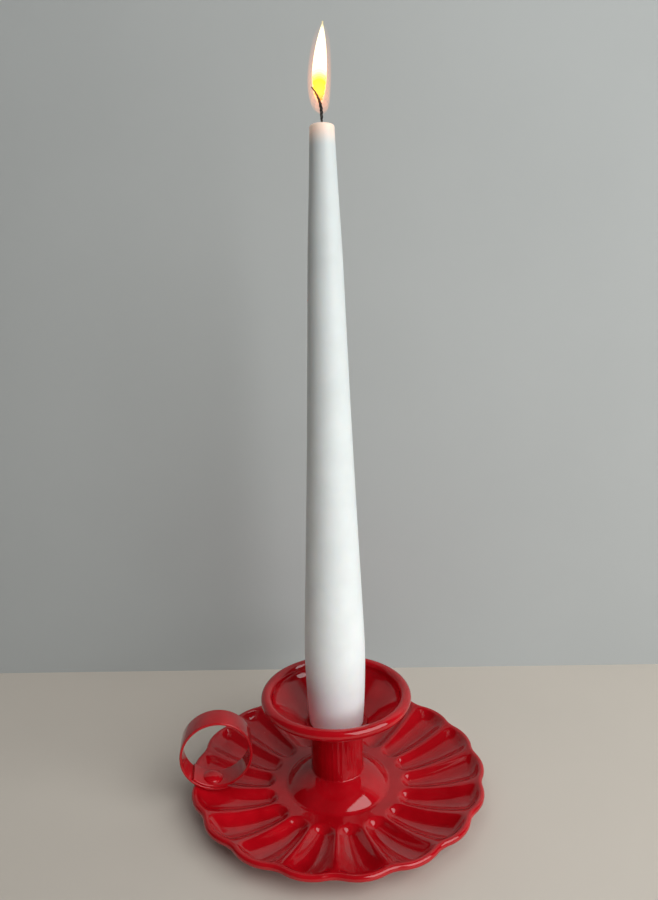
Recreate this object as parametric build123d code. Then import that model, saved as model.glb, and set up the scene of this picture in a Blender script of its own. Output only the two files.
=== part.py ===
from build123d import *
import os
from math import acos, asin, atan, cos, degrees, hypot, pi, radians, sin, sqrt, tan

# A chamberstick: a fluted saucer on scooped feet, a candle socket with a drip bowl, a riveted finger loop
# and a tapered candle. Millimetres, +Z up, origin on the candle's axis at table level, loop towards -X.

# Clearances and working lengths
piece_gap = 0.03
lift_clearance = 0.35
rivet_clearance = 0.1
cut_overrun = 5.0

# Dish: a saucer pressed from sheet
flute_count = 18
dish_sheet = 1.0
lip_crest_radius = 68.3
lip_notch_depth = 1.7
lip_roll_radius = 1.4
lip_skirt = 1.0
lip_rise = 8.5
scoop_depth = 2.6
scoop_start_radius = 29.0
scoop_end_round = 4.5
scoop_end_run = 4.5
rim_wall_run = 4.3
rim_wall_inset = 0.3
foot_flat_depth = 0.25
dome_rise = 8.2
dome_foot_radius = 24.0
dome_foot_fillet = 3.0

# Candle socket: a deep-drawn cup
socket_radius = 12.25
socket_sheet = 0.8
socket_corner_radius = 1.2
socket_height = 20.2
socket_flange_width = 2.0
socket_flange_sheet = 0.6
socket_bead_radius = 0.5

# Drip bowl: a cone that turns up into a short upright wall with a rolled rim
bowl_sheet = 0.9
bowl_rim_radius = 32.1
bowl_bead_radius = 2.475
bowl_upright_height = 2.55
bowl_cone_angle = 35.0
bowl_wall_fillet = 4.6
bowl_curl_turn = 275.0

# Finger loop: a strap bent to a ring with lapped ends
loop_radius = 17.1
loop_strap = 1.1
loop_width = 11.5
loop_lap_gap = 0.08
loop_seat_gap = 0.12
loop_lean = 10.0
loop_inner_tail_turn = 38.0
loop_outer_tail_turn = 24.0
loop_inset = 9.7

# Loop rivet and its washer
loop_rivet_shank_radius = 1.7
loop_rivet_head_radius = 4.3
loop_rivet_head_edge = 0.3
loop_rivet_head_crown = 1.6
loop_rivet_tail_radius = 2.7
loop_rivet_tail_height = 1.0
loop_washer_radius = 3.4
loop_washer_sheet = 0.8
loop_washer_seat_gap = 0.4

# Socket rivet and its washer
socket_rivet_shank_radius = 2.0
socket_rivet_head_radius = 4.0
socket_rivet_head_height = 1.2
socket_rivet_tail_radius = 3.4
socket_rivet_tail_height = 1.2
socket_washer_radius = 6.0
socket_washer_sheet = 1.0

# Candle and wick
candle_length = 280.2
candle_radius = 13.7
candle_foot_round = 1.5
candle_top_radius = 5.0
candle_top_round = 0.8
candle_shoulder_rise = 1.8
candle_shoulder_radius = 12.4
wick_radius = 0.7
wick_stand = 14.0
wick_straight = 4.5
wick_bend_radius = 14.0

# Shares that give the curves their form
ridge_power_share = 1.9
scoop_breadth_share = 0.8
lobe_breadth_share = 0.7
middle_section_share = 0.55
section_shares = (0.0, 0.3, 0.55, 0.75, 0.88, 1.0)
scoop_end_shares = (0.0, 0.17, 0.33, 0.5, 0.67, 1.0)
scoop_run_shares = (0.25, 0.5, 0.75)
rim_wall_shares = (0.0, 0.25, 0.5, 0.75, 1.0)
# The candle's form: height above its shoulder and radius, as shares of its free length and greatest radius
candle_form_shares = (
    (0.04, 0.956),
    (0.106, 1.0),
    (0.152, 0.998),
    (0.214, 0.953),
    (0.38, 0.818),
    (0.538, 0.7),
    (0.692, 0.599),
    (0.808, 0.526),
    (0.919, 0.425),
)


def smooth_step(share):
    """Rise from 0 to 1 with level ends."""
    share = min(max(share, 0.0), 1.0)
    return share * share * (3 - 2 * share)


def valley(share, breadth_share):
    """Depth of a round valley with a round crest: 1 in its middle, 0 on the crest."""
    if share <= breadth_share:
        return 1 - share * share / breadth_share
    return (1 - share) ** 2 / (1 - breadth_share)


# Heights and angles that follow from the sizes above
flute_pitch = 360 / flute_count
lip_top_crest = lip_crest_radius - lip_roll_radius
lip_lean = atan(ridge_power_share * lip_rise / (lip_top_crest - scoop_start_radius))


def dish_lip(share):
    """Radius of the scalloped lip's top, a share of half a flute away from a scoop's middle."""
    return lip_top_crest - lip_notch_depth * (1 - valley(share, lobe_breadth_share))


def ridge_end(share):
    """Radius where the saucer's curve runs into the rolled lip."""
    return dish_lip(share) - lip_roll_radius * sin(lip_lean)


def ridge_height(radius, share):
    """Height of a ridge's crest above the level ring inside it."""
    part = max(radius - scoop_start_radius, 0) / (ridge_end(share) - scoop_start_radius)
    return lip_rise * part ** ridge_power_share


scoop_floor_radius = scoop_start_radius + scoop_end_run
ring_height = dish_sheet - foot_flat_depth + scoop_depth - ridge_height(scoop_floor_radius, 0)
seat_height = ring_height + dome_rise
socket_bore = socket_radius - socket_sheet
socket_floor_radius = socket_radius - socket_corner_radius
bowl_foot_height = seat_height + socket_height


def scoop_fall(radius, share):
    """How far the dish lies below its ridges' curve."""
    scoop_start = scoop_start_radius + scoop_end_round * (1 - sqrt(1 - share * share))
    wall_start = ridge_end(share) - rim_wall_run
    inner = smooth_step((radius - scoop_start) / scoop_end_run)
    outer = 1 - smooth_step((radius - wall_start) / (rim_wall_run - rim_wall_inset))
    return scoop_depth * valley(share, scoop_breadth_share) * inner * outer


def flute_points(share):
    """Upper surface from the level ring to the rolled lip, in a plane through the candle's axis."""
    inner_run = scoop_end_round + scoop_end_run
    run_start = scoop_start_radius + inner_run
    wall_start = ridge_end(share) - rim_wall_run
    stations = [scoop_start_radius + part * inner_run for part in scoop_end_shares]
    stations += [run_start + part * (wall_start - run_start) for part in scoop_run_shares]
    stations += [wall_start + part * rim_wall_run for part in rim_wall_shares]
    points = []
    for radius in stations:
        points.append((radius, ring_height + ridge_height(radius, share) - scoop_fall(radius, share)))
    return points


def lower_side(points):
    """Points one sheet below a run of points that starts level and ends at the lip's lean."""
    slopes = [0.0]
    for before, after in zip(points, points[2:]):
        slopes.append(atan((after[1] - before[1]) / (after[0] - before[0])))
    slopes.append(lip_lean)
    lowered = []
    for (radius, height), slope in zip(points, slopes):
        lowered.append((radius + dish_sheet * sin(slope), height - dish_sheet * cos(slope)))
    return lowered


def run_lengths(points):
    """Length of a run from its first point to each point."""
    reached = [0.0]
    for before, after in zip(points, points[1:]):
        reached.append(reached[-1] + hypot(after[0] - before[0], after[1] - before[1]))
    return reached


# Dome: a ball's cap that meets the level ring in a hollow fillet
dome_ball_depth = (dome_foot_radius ** 2 - socket_floor_radius ** 2 + dome_rise ** 2) / (2 * dome_rise)
dome_ball_height = seat_height - dome_ball_depth
dome_ball_radius = hypot(dome_ball_depth, socket_floor_radius)
fillet_height = ring_height + dome_foot_fillet
fillet_radius = sqrt((dome_ball_radius + dome_foot_fillet) ** 2 - (fillet_height - dome_ball_height) ** 2)
fillet_lean = atan(fillet_radius / (fillet_height - dome_ball_height))


def cap_arc(ball_radius, first_angle, last_angle):
    """Arc of the dome between two angles from the candle's axis."""
    middle = (first_angle + last_angle) / 2
    places = []
    for angle in (first_angle, middle, last_angle):
        places.append((ball_radius * sin(angle), dome_ball_height + ball_radius * cos(angle)))
    return ThreePointArc(*places)


def fillet_arc(hollow_radius):
    """Arc of the hollow between the dome and the level ring."""
    places = []
    for angle in (fillet_lean, fillet_lean / 2, 0):
        inward, down = hollow_radius * sin(angle), hollow_radius * cos(angle)
        places.append((fillet_radius - inward, fillet_height - down))
    return ThreePointArc(*places)


def sheet_curve(points, lengths):
    """Smooth curve that leaves the level ring flat and meets the rolled lip at its lean."""
    run = [Vector(*point) for point in points]
    ends = [Vector(1, 0), Vector(cos(lip_lean), sin(lip_lean))]
    return Edge.make_spline(run, ends, parameters=lengths, scale=False)


def lip_roll(share, radius):
    """One face of the rolled lip and of the straight skirt below it."""
    middle = (dish_lip(share), ring_height + lip_rise - lip_roll_radius * cos(lip_lean))
    roll = CenterArc(middle, radius, 90 + degrees(lip_lean), -90 - degrees(lip_lean))
    return roll, Line(roll @ 1, roll @ 1 - Vector(0, lip_skirt))


def dish_section(share):
    """Closed outline of the sheet in a plane through the candle's axis."""
    upper = flute_points(share)
    lower = lower_side(upper)
    upper_ring = (fillet_radius, ring_height)
    lower_ring = (fillet_radius, ring_height - dish_sheet)
    upper_lip = lip_roll(share, lip_roll_radius)
    lower_lip = lip_roll(share, lip_roll_radius - dish_sheet)
    lengths = run_lengths([upper_ring] + flute_points(middle_section_share))
    hole_radius = socket_rivet_shank_radius + rivet_clearance
    inner_ball = dome_ball_radius - dish_sheet
    upper_angle = asin(socket_floor_radius / dome_ball_radius)
    lower_seat = seat_height - dish_sheet
    lower_angle = acos((lower_seat - dome_ball_height) / inner_ball)
    edges = [
        Line((hole_radius, seat_height), (socket_floor_radius, seat_height)),
        cap_arc(dome_ball_radius, upper_angle, fillet_lean),
        fillet_arc(dome_foot_fillet),
        sheet_curve([upper_ring] + upper, lengths),
        *upper_lip,
        Line(upper_lip[1] @ 1, lower_lip[1] @ 1),
        *lower_lip,
        sheet_curve([lower_ring] + lower, lengths),
        fillet_arc(dome_foot_fillet + dish_sheet),
        cap_arc(inner_ball, lower_angle, fillet_lean),
        Line((hole_radius, lower_seat), (inner_ball * sin(lower_angle), lower_seat)),
        Line((hole_radius, lower_seat), (hole_radius, seat_height)),
    ]
    return Wire(edges)


def turned(angle):
    """Upright plane through the candle's axis at an angle round it."""
    turn = radians(angle)
    return Plane(origin=(0, 0, 0), x_dir=(cos(turn), sin(turn), 0), z_dir=(sin(turn), -cos(turn), 0))


def flute_skin():
    """Faces of the dish over one flute, from the crest on one side of a scoop to the next crest."""
    signed_shares = [-share for share in reversed(section_shares[1:])] + list(section_shares)
    wires = [turned(share * flute_pitch / 2) * dish_section(abs(share)) for share in signed_shares]
    return Solid.make_loft(wires).faces().filter_by(GeomType.BSPLINE)


def upright(edges):
    """Face in the plane through the candle's axis and the loop, from edges written as radius and height."""
    return Plane.XZ * make_face(edges)


def drum(radius, low, high):
    """Upright cylinder between two heights."""
    return Pos(0, 0, (low + high) / 2) * Cylinder(radius, high - low)


# Seat of the finger loop on the ridge that points to -X
loop_rivet_place_radius = lip_crest_radius - loop_inset
ridge_span = ridge_end(1) - scoop_start_radius
ridge_share = (loop_rivet_place_radius - scoop_start_radius) / ridge_span
ridge_lean = degrees(atan(ridge_power_share * lip_rise * ridge_share ** (ridge_power_share - 1) / ridge_span))
loop_tilt = radians(ridge_lean - loop_lean)
loop_centre = (loop_radius + loop_seat_gap) / cos(loop_tilt)
loop_seat_height = ring_height + ridge_height(loop_rivet_place_radius, 1)
loop_frame = Plane(
    origin=(-loop_rivet_place_radius, 0, loop_seat_height),
    x_dir=(cos(radians(loop_lean)), 0, -sin(radians(loop_lean))),
    z_dir=(sin(radians(loop_lean)), 0, cos(radians(loop_lean))),
)
loop_lap = loop_strap + loop_lap_gap
loop_inside_radius = loop_radius - loop_strap - loop_lap
loop_hole_radius = loop_rivet_shank_radius + rivet_clearance


def make_dish():
    skin = flute_skin()
    faces = []
    for index in range(flute_count):
        turn = 180 + (index + 1 / 2) * flute_pitch
        faces += [face.rotate(Axis.Z, turn) for face in skin]
    dish = Solid(Shell(faces))
    table = drum(lip_crest_radius + cut_overrun, -cut_overrun, 0)
    rivet_hole = loop_frame * drum(loop_hole_radius, -cut_overrun, cut_overrun)
    return dish - table - rivet_hole


# Socket and bowl: heights that follow from the bowl's slope
cone_slope = tan(radians(bowl_cone_angle))
cone_stretch = 1 / cos(radians(bowl_cone_angle))
bowl_floor_height = bowl_foot_height + bowl_sheet * cone_stretch
flange_foot_height = bowl_floor_height + piece_gap
mouth_height = flange_foot_height + socket_flange_sheet * cone_stretch - socket_sheet * cone_slope
bowl_hole_radius = socket_radius + piece_gap
bowl_wall_radius = bowl_rim_radius - bowl_bead_radius
bowl_knee_height = bowl_floor_height + (bowl_wall_radius - bowl_hole_radius) * cone_slope
bowl_rim_height = bowl_knee_height + bowl_upright_height


def socket_foot(inset):
    """Floor and corner of the socket, a distance inside its outer face."""
    hole_radius = socket_rivet_shank_radius + rivet_clearance
    floor = Line((hole_radius, seat_height + inset), (socket_floor_radius, seat_height + inset))
    corner_centre = (socket_floor_radius, seat_height + socket_corner_radius)
    return floor, CenterArc(corner_centre, socket_corner_radius - inset, -90, 90)


def make_socket():
    outer = socket_foot(0)
    inner = socket_foot(socket_sheet)
    bead_height = bowl_foot_height - piece_gap - socket_bead_radius
    bead_low = (socket_radius, bead_height - socket_bead_radius)
    bead_high = (socket_radius, bead_height + socket_bead_radius)
    flange_radius = socket_radius + socket_flange_width
    flange_low = (flange_radius, flange_foot_height + socket_flange_width * cone_slope)
    flange_high = (flange_radius, flange_low[1] + socket_flange_sheet * cone_stretch)
    edges = [
        *outer,
        Line(outer[1] @ 1, bead_low),
        ThreePointArc(bead_low, (socket_radius + socket_bead_radius, bead_height), bead_high),
        Polyline(bead_high, (socket_radius, flange_foot_height), flange_low, flange_high),
        Polyline(flange_high, (socket_bore, mouth_height), inner[1] @ 1),
        *inner,
        Line(outer[0] @ 0, inner[0] @ 0),
    ]
    return revolve(upright(edges), Axis.Z)


def make_bowl():
    hole_low = (bowl_hole_radius, bowl_foot_height)
    hole_high = (bowl_hole_radius, bowl_floor_height)
    sides = []
    for start, radius, fillet_size in (
        (hole_high, bowl_wall_radius, bowl_wall_fillet),
        (hole_low, bowl_wall_radius + bowl_sheet, bowl_wall_fillet + bowl_sheet),
    ):
        knee = (radius, start[1] + (radius - bowl_hole_radius) * cone_slope)
        sides.append(FilletPolyline(start, knee, (radius, bowl_rim_height), radius=fillet_size))
    bead_centre = (bowl_rim_radius, bowl_rim_height)
    curl = CenterArc(bead_centre, bowl_bead_radius, 180, -bowl_curl_turn)
    inner_curl = CenterArc(bead_centre, bowl_bead_radius - bowl_sheet, 180, -bowl_curl_turn)
    edges = [*sides, curl, inner_curl, Line(curl @ 1, inner_curl @ 1), Line(hole_low, hole_high)]
    return revolve(upright(edges), Axis.Z)


def make_socket_rivet():
    floor_height = seat_height + socket_sheet + piece_gap
    tail_top = seat_height - dish_sheet - socket_washer_sheet - 2 * piece_gap
    shank = drum(socket_rivet_shank_radius, tail_top, floor_height)
    head = drum(socket_rivet_head_radius, floor_height, floor_height + socket_rivet_head_height)
    tail = drum(socket_rivet_tail_radius, tail_top - socket_rivet_tail_height, tail_top)
    return shank + head + tail


def make_socket_washer():
    top = seat_height - dish_sheet - piece_gap
    ring = drum(socket_washer_radius, top - socket_washer_sheet, top)
    return ring - drum(socket_rivet_shank_radius + rivet_clearance, top - cut_overrun, top + cut_overrun)


def loop_edge(side):
    """One face of the strap from its inner end, round the ring, to its outer end; side is -1 in, 1 out."""
    offset = side * loop_strap / 2
    ring = loop_inside_radius + loop_strap / 2
    centre = (0, loop_centre)
    low_centre = (0, loop_centre - loop_lap / 2)
    return [
        CenterArc(low_centre, ring - loop_lap / 2 + offset, -90 - loop_inner_tail_turn, loop_inner_tail_turn),
        CenterArc(centre, ring + offset, -90, 180),
        CenterArc(low_centre, ring + loop_lap / 2 + offset, 90, 180),
        CenterArc(centre, ring + loop_lap + offset, -90, loop_outer_tail_turn),
    ]


def make_loop():
    inside = loop_edge(-1)
    outside = loop_edge(1)
    ends = [Line(inside[0] @ 0, outside[0] @ 0), Line(inside[3] @ 1, outside[3] @ 1)]
    strap = extrude(upright(inside + outside + ends), loop_width / 2, both=True)
    return loop_frame * (strap - drum(loop_hole_radius, -cut_overrun, loop_centre))


loop_head_foot = loop_centre - loop_inside_radius
loop_head_rise = loop_inside_radius - sqrt(loop_inside_radius ** 2 - loop_rivet_head_radius ** 2)
washer_share = 1 - loop_washer_radius / (loop_rivet_place_radius * pi / flute_count)
washer_fall = scoop_depth * valley(washer_share, scoop_breadth_share)
loop_washer_top = -(dish_sheet / cos(loop_tilt) + washer_fall + loop_washer_seat_gap)


def make_loop_rivet():
    edge_height = loop_head_foot + loop_head_rise + loop_rivet_head_edge
    crown_height = edge_height + loop_rivet_head_crown
    crown_radius = (loop_rivet_head_radius ** 2 + loop_rivet_head_crown ** 2) / (2 * loop_rivet_head_crown)
    rim = (loop_rivet_head_radius, edge_height)
    crown = RadiusArc((0, crown_height), rim, crown_radius)
    sides = Polyline(rim, (loop_rivet_head_radius, 0), (0, 0), (0, crown_height))
    head = revolve(upright([crown, sides]), Axis.Z)
    saddle = Pos(0, 0, loop_centre) * Rot(90, 0, 0) * Cylinder(loop_inside_radius - piece_gap, loop_width)
    tail_top = loop_washer_top - loop_washer_sheet - piece_gap
    shank = drum(loop_rivet_shank_radius, tail_top, loop_head_foot + loop_head_rise)
    tail = drum(loop_rivet_tail_radius, tail_top - loop_rivet_tail_height, tail_top)
    return loop_frame * ((head & saddle) + shank + tail)


def make_loop_washer():
    ring = drum(loop_washer_radius, loop_washer_top - loop_washer_sheet, loop_washer_top)
    return loop_frame * (ring - drum(loop_hole_radius, loop_washer_top - cut_overrun, 0))


# Candle: its foot stands in the socket, on the head of the socket's rivet
candle_foot_height = seat_height + socket_sheet + socket_rivet_head_height + 2 * piece_gap
candle_top_height = candle_foot_height + candle_length
shoulder_height = mouth_height + candle_shoulder_rise


def make_candle():
    foot_radius = socket_bore - lift_clearance
    foot_centre = (foot_radius - candle_foot_round, candle_foot_height + candle_foot_round)
    foot = CenterArc(foot_centre, candle_foot_round, -90, 90)
    shoulder = (candle_shoulder_radius, shoulder_height)
    free_length = candle_top_height - shoulder_height
    form = [(candle_radius * wide, shoulder_height + free_length * high) for high, wide in candle_form_shares]
    top_edge = (candle_top_radius, candle_top_height - candle_top_round)
    top_centre = (candle_top_radius - candle_top_round, candle_top_height - candle_top_round)
    top_arc = CenterArc(top_centre, candle_top_round, 0, 90)
    bore_radius = wick_radius + piece_gap
    edges = [
        Line((bore_radius, candle_foot_height), foot @ 0),
        foot,
        Polyline(foot @ 1, (foot_radius, mouth_height), shoulder),
        Spline(shoulder, *form, top_edge),
        top_arc,
        Polyline(top_arc @ 1, (bore_radius, candle_top_height), (bore_radius, candle_foot_height)),
    ]
    return revolve(upright(edges), Axis.Z)


def make_wick():
    bend_height = candle_top_height + wick_straight
    bend_turn = degrees(asin((wick_stand - wick_straight) / wick_bend_radius))
    stem = Line((0, candle_foot_height), (0, bend_height))
    bend = CenterArc((-wick_bend_radius, bend_height), wick_bend_radius, 0, bend_turn)
    route = Plane.XZ * Wire([stem, bend])
    strand = sweep(Pos(0, 0, candle_foot_height) * Circle(wick_radius), path=route)
    print("wick volume over section times length", strand.volume / (pi * wick_radius ** 2 * route.length))
    return strand


pieces = {
    "dish": make_dish(),
    "candle_socket": make_socket(),
    "drip_bowl": make_bowl(),
    "socket_rivet": make_socket_rivet(),
    "socket_rivet_washer": make_socket_washer(),
    "finger_loop": make_loop(),
    "loop_rivet": make_loop_rivet(),
    "loop_rivet_washer": make_loop_washer(),
    "candle": make_candle(),
    "wick": make_wick(),
}

os.makedirs("parts", exist_ok=True)
for name, piece in pieces.items():
    export_step(piece, os.path.join("parts", name + ".step"))
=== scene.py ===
from math import acos, asin, atan, atan2, ceil, cos, hypot, pi, radians, sin, sqrt, tan

import bmesh
import bpy
from bpy.props import FloatProperty, FloatVectorProperty, IntProperty, PointerProperty
from mathutils import Matrix, Vector
from mathutils.geometry import interpolate_bezier


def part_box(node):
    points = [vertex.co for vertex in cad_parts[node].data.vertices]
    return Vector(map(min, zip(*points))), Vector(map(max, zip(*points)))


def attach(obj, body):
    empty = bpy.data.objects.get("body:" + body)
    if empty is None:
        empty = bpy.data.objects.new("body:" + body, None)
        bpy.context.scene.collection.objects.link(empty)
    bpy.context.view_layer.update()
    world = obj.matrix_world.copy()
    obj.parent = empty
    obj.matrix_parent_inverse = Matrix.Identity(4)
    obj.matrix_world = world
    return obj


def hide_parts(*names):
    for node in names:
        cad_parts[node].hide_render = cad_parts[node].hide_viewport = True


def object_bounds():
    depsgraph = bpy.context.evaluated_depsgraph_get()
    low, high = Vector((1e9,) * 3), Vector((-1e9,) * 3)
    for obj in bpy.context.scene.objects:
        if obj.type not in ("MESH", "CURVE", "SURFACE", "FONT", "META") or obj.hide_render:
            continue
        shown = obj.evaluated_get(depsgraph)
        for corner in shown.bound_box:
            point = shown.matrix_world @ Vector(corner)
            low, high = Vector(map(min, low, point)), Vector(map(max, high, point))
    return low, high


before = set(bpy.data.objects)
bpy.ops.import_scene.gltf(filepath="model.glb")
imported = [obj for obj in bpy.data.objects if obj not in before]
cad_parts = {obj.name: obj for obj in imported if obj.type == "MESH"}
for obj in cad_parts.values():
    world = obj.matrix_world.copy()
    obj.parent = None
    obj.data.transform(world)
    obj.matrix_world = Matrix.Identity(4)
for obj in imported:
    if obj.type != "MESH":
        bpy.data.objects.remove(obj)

bl_info = {
    "name": "Chamberstick",
    "version": (1, 0, 0),
    "blender": (4, 5, 0),
    "location": "View3D > Sidebar > Chamberstick",
    "description": "Enamelled chamberstick with a fluted dish, a drip bowl, a finger loop and a candle",
    "category": "Add Mesh",
}

CAD_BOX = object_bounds()
MM = 0.001
SHARP_ANGLE = radians(50)
HOLDER = "holder"
CANDLE = "candle"


# Properties
def length(name, description, millimetres):
    """A size in millimetres, kept in metres."""
    return FloatProperty(
        name=name, description=description, default=millimetres * MM, unit="LENGTH", precision=5
    )


def angle(name, description, degrees):
    """An angle in degrees, kept in radians."""
    return FloatProperty(name=name, description=description, default=radians(degrees), subtype="ANGLE")


def share(name, description, value):
    """A plain ratio."""
    return FloatProperty(name=name, description=description, default=value, subtype="FACTOR")


def colour(name, description, red, green, blue):
    """A colour in linear light."""
    return FloatVectorProperty(
        name=name, description=description, default=(red, green, blue, 1), size=4, min=0, max=1,
        subtype="COLOR",
    )


def count(name, description, value, least):
    """A number of like things."""
    return IntProperty(name=name, description=description, default=value, min=least)


class DishSizes(bpy.types.PropertyGroup):
    flutes: count("Flutes", "Scoops round the dish", 18, 3)
    sheet: length("Sheet", "Thickness of the pressed sheet", 1.0)
    crest_radius: length("Lip crest", "Radius of the lip where it swells out", 68.3)
    notch_depth: length("Lip notch", "How far the lip draws in between its swells", 1.7)
    lip_roll: length("Lip roll", "Radius of the lip's rolled edge", 1.4)
    lip_skirt: length("Lip skirt", "Straight drop below the rolled edge", 1.0)
    lip_rise: length("Lip rise", "Height of the lip above the level ring", 8.5)
    scoop_depth: length("Scoop depth", "Depth of a scoop below the ridges beside it", 2.6)
    scoop_start: length("Scoop start", "Radius where the scoops begin", 29.0)
    scoop_round: length("Scoop round", "How far the scoop's end curves back towards the ridges", 4.5)
    scoop_run: length("Scoop run", "Length of the slope at the scoop's inner end", 4.5)
    wall_run: length("Wall run", "Length of the wall at the scoop's outer end", 5.0)
    wall_inset: length("Wall inset", "Gap between that wall and the lip", 0.1)
    foot_flat: length("Foot flat", "Depth of the flat worn under each scoop", 0.25)
    dome_rise: length("Dome rise", "Height of the dome above the level ring", 8.2)
    dome_radius: length("Dome radius", "Radius of the dome's foot", 24.0)
    dome_fillet: length("Dome fillet", "Radius of the hollow round the dome's foot", 3.0)
    rivet_hole: length("Rivet hole", "Radius of the hole for the socket's rivet", 2.1)
    ridge_power: share("Ridge curve", "Power of the curve that the ridges rise along", 1.9)
    scoop_breadth: share("Scoop breadth", "Share of a flute that its hollow takes", 0.8)
    wall_breadth: share("Wall breadth", "Share of the scoop's outer wall that is hollow", 0.85)
    lobe_breadth: share("Lobe breadth", "Share of a flute that the lip's swell takes", 0.7)


class SocketSizes(bpy.types.PropertyGroup):
    radius: length("Radius", "Outside radius of the socket", 12.25)
    sheet: length("Sheet", "Thickness of the drawn cup", 0.8)
    corner: length("Corner", "Radius of the corner at the floor", 1.2)
    joint: length("Joint", "Radius of the enamel that fills the joint with the dome", 0.7)
    flange_width: length("Flange width", "Width of the flange inside the bowl", 2.0)
    flange_sheet: length("Flange sheet", "Thickness of that flange", 0.6)
    bead: length("Bead", "Radius of the bead that carries the bowl", 0.5)


class BowlSizes(bpy.types.PropertyGroup):
    sheet: length("Sheet", "Thickness of the bowl's sheet", 0.9)
    seat_gap: length("Seat gap", "Gap between the bowl and the socket", 0.03)
    rim_radius: length("Rim radius", "Radius of the middle of the rolled rim", 32.1)
    bead: length("Rim bead", "Radius of the rolled rim", 2.475)
    upright: length("Upright", "Height of the upright wall below the rim's middle", 2.55)
    cone: angle("Cone", "Slope of the bowl's cone", 35)
    fillet: length("Fillet", "Radius of the bend between cone and wall", 4.6)
    bend_radius: length("Bend radius", "Radius of the soft bend where the cone steepens", 18.0)
    bend_round: length("Bend round", "Roundness of that bend", 30.0)
    sag: length("Sag", "How far the bend lies below the cone inside", 1.0)
    under_sag: length("Under sag", "How far the bend lies below the cone outside", 0.45)
    curl: angle("Curl", "How far the rim is rolled over", 275)


class LoopSizes(bpy.types.PropertyGroup):
    radius: length("Radius", "Outside radius of the loop", 17.1)
    strap: length("Strap", "Thickness of the strap", 1.1)
    width: length("Width", "Width of the strap", 11.5)
    edge_round: length("Edge round", "Radius of the strap's softened edges", 0.38)
    lap_gap: length("Lap gap", "Gap between the lapped ends", 0.08)
    seat_gap: length("Seat gap", "Gap between the strap and the ridge", 0.12)
    lean: angle("Lean", "Lean of the loop towards the candle", 10)
    inner_tail: angle("Inner tail", "Turn of the inner end past the rivet", 38)
    outer_tail: angle("Outer tail", "Turn of the outer end past the rivet", 24)
    inset: length("Inset", "Distance of the rivet from the lip's crest", 9.7)


class RivetSizes(bpy.types.PropertyGroup):
    shank: length("Shank", "Radius of the shank", 1.7)
    head: length("Head", "Radius of the domed head", 4.3)
    head_edge: length("Head edge", "Least height of the head's side", 0.3)
    head_round: length("Head round", "Radius of the softened edge of the head", 0.25)
    crown: length("Crown", "Height of the dome on the head", 1.6)
    tail: length("Tail", "Radius of the closed end", 2.7)
    tail_height: length("Tail height", "Height of the closed end", 1.0)


class CandleSizes(bpy.types.PropertyGroup):
    radius: length("Radius", "Greatest radius of the candle", 13.7)
    top_radius: length("Top radius", "Radius at the top", 5.0)
    foot_round: length("Foot round", "Radius of the foot's softened edge", 1.5)
    top_round: length("Top round", "Radius of the softened top edge", 0.8)
    pool_depth: length("Pool depth", "Depth of the molten hollow round the wick", 0.7)
    clearance: length("Clearance", "Room between the foot and the socket", 0.35)
    shoulder_rise: length("Shoulder rise", "Height of the shoulder above the socket's mouth", 1.8)
    shoulder: length("Shoulder", "Radius of the shoulder that rests on the bowl", 12.4)
    # Painted flame light: the warm tint and emitted glow painted on the wax near its top.
    flame_light_height: length("Warm height", "Height of wax that the flame softens and tints", 9.0)
    glow: share("Glow", "How much light of the flame the wax at the top lets through", 0.16)


class WickSizes(bpy.types.PropertyGroup):
    radius: length("Radius", "Radius of the braided wick", 0.7)
    strands: count("Strands", "Strands in the wick", 3, 2)
    turn_length: length("Turn length", "Length in which a strand goes once round", 5.0)
    stand: length("Stand", "Height of the wick above the candle", 14.0)
    straight: length("Straight", "Straight stretch above the candle", 4.5)
    bend: length("Bend", "Radius of the bend above it", 14.0)
    strand: share("Strand", "Radius of a strand, against the wick's", 0.52)
    waist: share("Waist", "Thickness at the candle's top, against the burnt knot", 0.6)
    point: share("Point", "Thickness at the tip, against the burnt knot", 0.4)
    knot: share("Knot", "Share of the burnt end where it has swollen to the knot", 0.3)
    taper: share("Taper", "Share of the burnt end where it starts to taper", 0.45)


class FlameSizes(bpy.types.PropertyGroup):
    foot: length("Foot", "Height of the flame's foot above the candle", 6.0)
    height: length("Height", "Height of the flame", 31.8)
    radius: length("Radius", "Greatest radius of the bright core", 2.9)
    halo: length("Halo", "Width of the glow round the core", 1.8)
    core_rise: length("Core rise", "Height of the core's foot above the flame's foot", 2.0)
    foot_lean: length("Foot lean", "How far the flame's foot leans from the loop", 0.9)
    belly_lean: length("Belly lean", "How far the flame's belly leans towards the loop", 1.7)
    tip_lean: length("Tip lean", "How far the flame's tip leans from the loop", 1.3)
    core_lamps: count("Core lamps", "Small round lamps up the core", 44, 4)
    halo_lamps: count("Halo lamps", "Small round lamps up the halo", 18, 4)
    glow: share("Glow", "Brightness of each lamp of the core", 0.5)
    foot_glow: share("Foot glow", "Brightness of the lamps at the core's foot", 0.14)
    halo_glow: share("Halo glow", "Brightness of each lamp of the halo", 0.17)
    belly: share("Belly", "Share of the column's height where it is widest", 0.34)
    orange: share("Orange", "Share of the core's height that is orange", 0.3)
    yellow: share("Yellow", "Share of the core's height where yellow turns to white", 0.42)
    tip: share("Tip", "Share of the core's height that turns yellow at the tip", 0.1)


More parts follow.
